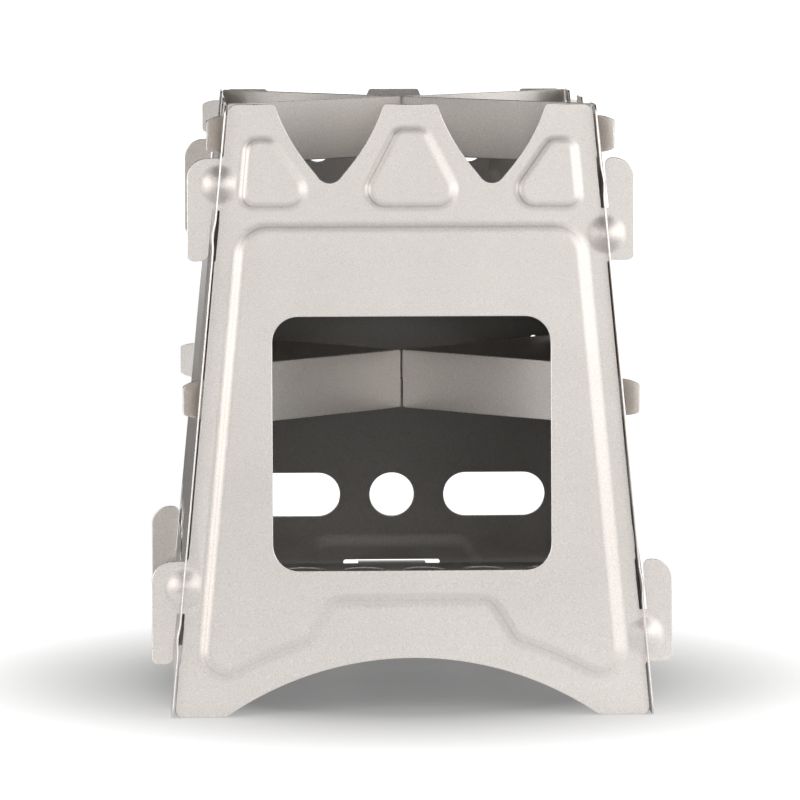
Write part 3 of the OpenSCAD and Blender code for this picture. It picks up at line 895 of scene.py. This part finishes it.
def blasted(name, colour, rough, grain, bump, inner_shade=1):
    """Titanium with the fine matt grain of bead blasting, and painted shade along the pressings' creases.
    The last argument is the tone of the painted shade on a wall's inner face down in the firebox.
    """
    mat = bpy.data.materials.new(name)
    mat.use_nodes = True
    nodes, links = mat.node_tree.nodes, mat.node_tree.links
    shader = nodes["Principled BSDF"]
    shader.inputs["Metallic"].default_value = 1
    coords = nodes.new("ShaderNodeTexCoord").outputs["Object"]
    fine = noise(nodes, links, coords, GRAIN_SCALE, detail=2)
    soft = noise(nodes, links, coords, CLOUD_SCALE, detail=3)
    cloud = mapped(nodes, links, soft, 1 - CLOUDING, 1 + CLOUDING)
    tone = multiplied(nodes, links, mapped(nodes, links, fine, 1 - grain, 1 + grain), cloud)
    # Painted shade: the line attribute darkens the crease along each pressing's wall
    line = nodes.new("ShaderNodeAttribute")
    line.attribute_name = "line"
    tone = multiplied(nodes, links, tone, mapped(nodes, links, line.outputs["Fac"], 1, CREASE_SHADE_TONE, 0, 1))
    # Painted shade: a wall's inner face is darker down in the firebox, fading out by height towards the
    # crown
    inner = nodes.new("ShaderNodeAttribute")
    inner.attribute_name = "inner"
    height = nodes.new("ShaderNodeSeparateXYZ")
    links.new(nodes.new("ShaderNodeNewGeometry").outputs["Position"], height.inputs["Vector"])
    depth = mapped(nodes, links, height.outputs["Z"], 1, INNER_SHADE_LEFT, *INNER_SHADE_FADE)
    shade = multiplied(nodes, links, inner.outputs["Fac"], depth)
    tone = multiplied(nodes, links, tone, mapped(nodes, links, shade, 1, inner_shade, 0, 1))
    tint = nodes.new("ShaderNodeVectorMath")
    tint.operation = "SCALE"
    tint.inputs[0].default_value = colour
    links.new(tone, tint.inputs["Scale"])
    links.new(tint.outputs["Vector"], shader.inputs["Base Color"])
    roughness = mapped(nodes, links, fine, rough - ROUGH_SPREAD, rough + ROUGH_SPREAD)
    links.new(roughness, shader.inputs["Roughness"])
    pits = nodes.new("ShaderNodeBump")
    pits.inputs["Strength"].default_value = bump
    pits.inputs["Distance"].default_value = PIT_DEPTH
    links.new(fine, pits.inputs["Height"])
    links.new(pits.outputs["Normal"], shader.inputs["Normal"])
    return mat


# The stage


def area_light(name, place, size, strength, colour):
    """A softbox that faces the stove. strength is its brightness as seen from the stove."""
    data = bpy.data.lights.new(name, "AREA")
    data.shape = "RECTANGLE"
    data.size, data.size_y = size
    data.energy = strength * math.pi * size[0] * size[1]
    data.color = colour
    lamp = bpy.data.objects.new(name, data)
    lamp.location = place
    lamp.rotation_euler = (Vector(LAMPS_AIM) - Vector(place)).to_track_quat("-Z", "Y").to_euler()
    lamp.visible_camera = False
    bpy.context.scene.collection.objects.link(lamp)


def around(azimuth, distance, height):
    """A place round the stove. Azimuth 0 is in front of it and 90 to its right."""
    a = math.radians(azimuth)
    return (distance * math.sin(a), -distance * math.cos(a), height)


def lights():
    """Softboxes in front of the stove and on both sides of it."""
    area_light("softbox_front", around(8, 1.9, 0.45), (1.6, 0.8), 1.57, (1, 1, 1))
    area_light("softbox_right", around(55, 1.1, 0.4), (1.35, 0.7), 2.2, (1, 0.99, 0.975))
    area_light("softbox_left", around(-49, 1.1, 0.35), (0.9, 0.6), 3.6, (1, 0.98, 0.96))


def seen(nodes, links):
    """1 for camera, glossy and transmission rays."""
    path = nodes.new("ShaderNodeLightPath")
    total = path.outputs["Is Camera Ray"]
    for name in ("Is Glossy Ray", "Is Transmission Ray"):
        node = nodes.new("ShaderNodeMath")
        node.operation = "MAXIMUM"
        links.new(total, node.inputs[0])
        links.new(path.outputs[name], node.inputs[1])
        total = node.outputs["Value"]
    return total


def world():
    """White where it is seen, and softer where it lights the floor."""
    w = bpy.data.worlds.new("studio")
    bpy.context.scene.world = w
    w.use_nodes = True
    nodes, links = w.node_tree.nodes, w.node_tree.links
    background = nodes["Background"]
    background.inputs["Color"].default_value = (1, 1, 1, 1)
    links.new(mapped(nodes, links, seen(nodes, links), WORLD_LIGHT, 1, 0, 1), background.inputs["Strength"])


def level_corners(left, right, front, back, z):
    """Corners of a level rectangle."""
    return [(left, front, z), (right, front, z), (right, back, z), (left, back, z)]


def upright_corners(start, end, top):
    """Corners of a rectangle that stands on the floor between two places."""
    return [(*start, 0), (*end, 0), (*end, top), (*start, top)]


def matt(name, tone, corners):
    """A matt rectangle on the stage, and its material."""
    mesh = bpy.data.meshes.new(name)
    mesh.from_pydata(corners, [], [(0, 1, 2, 3)])
    made = bpy.data.objects.new(name, mesh)
    bpy.context.scene.collection.objects.link(made)
    mat = bpy.data.materials.new(name + "_matt")
    mat.use_nodes = True
    shader = mat.node_tree.nodes["Principled BSDF"]
    shader.inputs["Base Color"].default_value = (tone, tone, tone, 1)
    shader.inputs["Roughness"].default_value = 1
    shader.inputs["Specular IOR Level"].default_value = 0
    mesh.materials.append(mat)
    return made, mat


def floor():
    """A pale floor that keeps the stove's cast shadow. Its glow is dimmed round the stove as a painted
    shadow.
    """
    far = FLOOR_SIZE
    _, mat = matt("floor", FLOOR_TONE, level_corners(-far, far, -far, far, 0))
    nodes, links = mat.node_tree.nodes, mat.node_tree.links
    shader = nodes["Principled BSDF"]
    shader.inputs["Emission Color"].default_value = (1, 1, 1, 1)
    away = nodes.new("ShaderNodeVectorMath")
    away.operation = "LENGTH"
    links.new(nodes.new("ShaderNodeNewGeometry").outputs["Position"], away.inputs[0])
    # Painted shadow: the glow fades towards the stove by the distance from its axis, as seen by the camera
    # and in reflections
    shadow = mapped(nodes, links, away.outputs["Value"], PAINTED_SHADOW_GLOW, 1, *PAINTED_SHADOW_REACH)
    level = mapped(nodes, links, away.outputs["Value"], PAINTED_SHADOW_RIM_GLOW, 1, PAINTED_SHADOW_REACH[1], FULL_GLOW_AT)
    glow = multiplied(nodes, links, seen(nodes, links), multiplied(nodes, links, shadow, level))
    links.new(glow, shader.inputs["Emission Strength"])


def flag(name, tone, corners):
    """A panel, as photographers use, which keeps light off the stove. The camera doesn't see it."""
    panel, _ = matt(name, tone, corners)
    panel.visible_camera = False


def flags():
    """Dark panels over the stove, beside it and round the camera's side of the room, and a grey one."""
    side, near, far, back, top, on_floor = 2.4, -0.2, -2.4, 5, 2.0, 0.001
    flag("flag_over", BLACK, level_corners(-0.45, 0.45, -0.5, 0.45, 0.5))
    flag("flag_front", GREY, level_corners(-side, side, far, near, on_floor))
    flag("flag_behind", BLACK, upright_corners((-side, far), (side, far), top))
    flag("flag_left", BLACK, upright_corners((-side, far), (-side, back), top))
    flag("flag_beside", BLACK, level_corners(-0.9, -0.045, -near, 1.6, on_floor))
    flag("flag_right", BLACK, upright_corners((side, far), (side, 0.3), top))


def camera():
    """The photograph's view: slightly from the left and above, with a long lens."""
    data = bpy.data.cameras.new("camera")
    data.lens = 226.4
    data.sensor_width = 36
    cam = bpy.data.objects.new("camera", data)
    cam.location = (-0.06853, -1.41717, 0.22825)
    down, turned = 5.97, -2.75
    cam.rotation_euler = (math.radians(90 - down), 0, math.radians(turned))
    bpy.context.scene.collection.objects.link(cam)
    bpy.context.scene.camera = cam


# The stove


def add_piece(mesh, node, body, materials):
    """Puts a mesh in the scene for its CAD node, on the body that carries it."""
    piece = bpy.data.objects.new(mesh.name, mesh)
    bpy.context.scene.collection.objects.link(piece)
    for mat in materials:
        mesh.materials.append(mat)
    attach(piece, body)
    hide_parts(node)


def stove():
    """The nine pieces and their materials."""
    sheet = blasted(
        "blasted_sheet", (0.66, 0.625, 0.595), rough=0.4, grain=0.13, bump=0.5, inner_shade=INNER_PAINTED_SHADE
    )
    strip = blasted("blasted_strip", (0.7, 0.67, 0.64), rough=0.4, grain=0.13, bump=0.5)
    # The grate is the same titanium as the walls, painted darker as shade down in the firebox
    plate = blasted("blasted_grate_painted_shade", (0.4, 0.38, 0.36), rough=0.4, grain=0.15, bump=0.5)
    cut = blasted("cut_edge", (0.74, 0.72, 0.7), rough=0.3, grain=0.04, bump=0.1)

    window = rounded(box_corners(0, WINDOW_SILL + WINDOW_H / 2, WINDOW_W, WINDOW_H, WINDOW_R))
    walls = [
        ("front_wall", end_sheet("front_wall_sheet", 0, [window])),
        ("back_wall", end_sheet("back_wall_sheet", 180, vents())),
        ("left_wall", side_sheet("left_wall_sheet", -90)),
        ("right_wall", side_sheet("right_wall_sheet", 90)),
    ]
    for node, mesh in walls:
        add_piece(mesh, node, "walls", [sheet, cut])
    add_piece(grate_plate("grate_plate"), "grate", "walls", [plate, cut])

    inside_low = EDGE_GAP - SHOULDER_GAP
    low_x = half_at(LOWER_MID - STRIP_H / 2) + inside_low
    high_x = half_at(LOWER_MID + STRIP_H / 2) + inside_low
    crown_x = half_at(STOVE_H) + inside_low
    for node, body, way, mid, xs, notch_up in (
        ("lower_strip_under", "walls", 1, LOWER_MID, (low_x, high_x), True),
        ("lower_strip_over", "walls", -1, LOWER_MID, (low_x, high_x), False),
        ("upper_strip_under", "under_strip", 1, UPPER_MID, (crown_x, crown_x), True),
        ("upper_strip_over", "over_strip", -1, UPPER_MID, (crown_x, crown_x), False),
    ):
        mesh = strip_plate(node + "_plate", way, mid, *xs, notch_up)
        add_piece(mesh, node, body, [strip, cut])


bpy.context.scene.view_settings.view_transform = "Standard"
camera()
stove()
world()
lights()
floor()
flags()
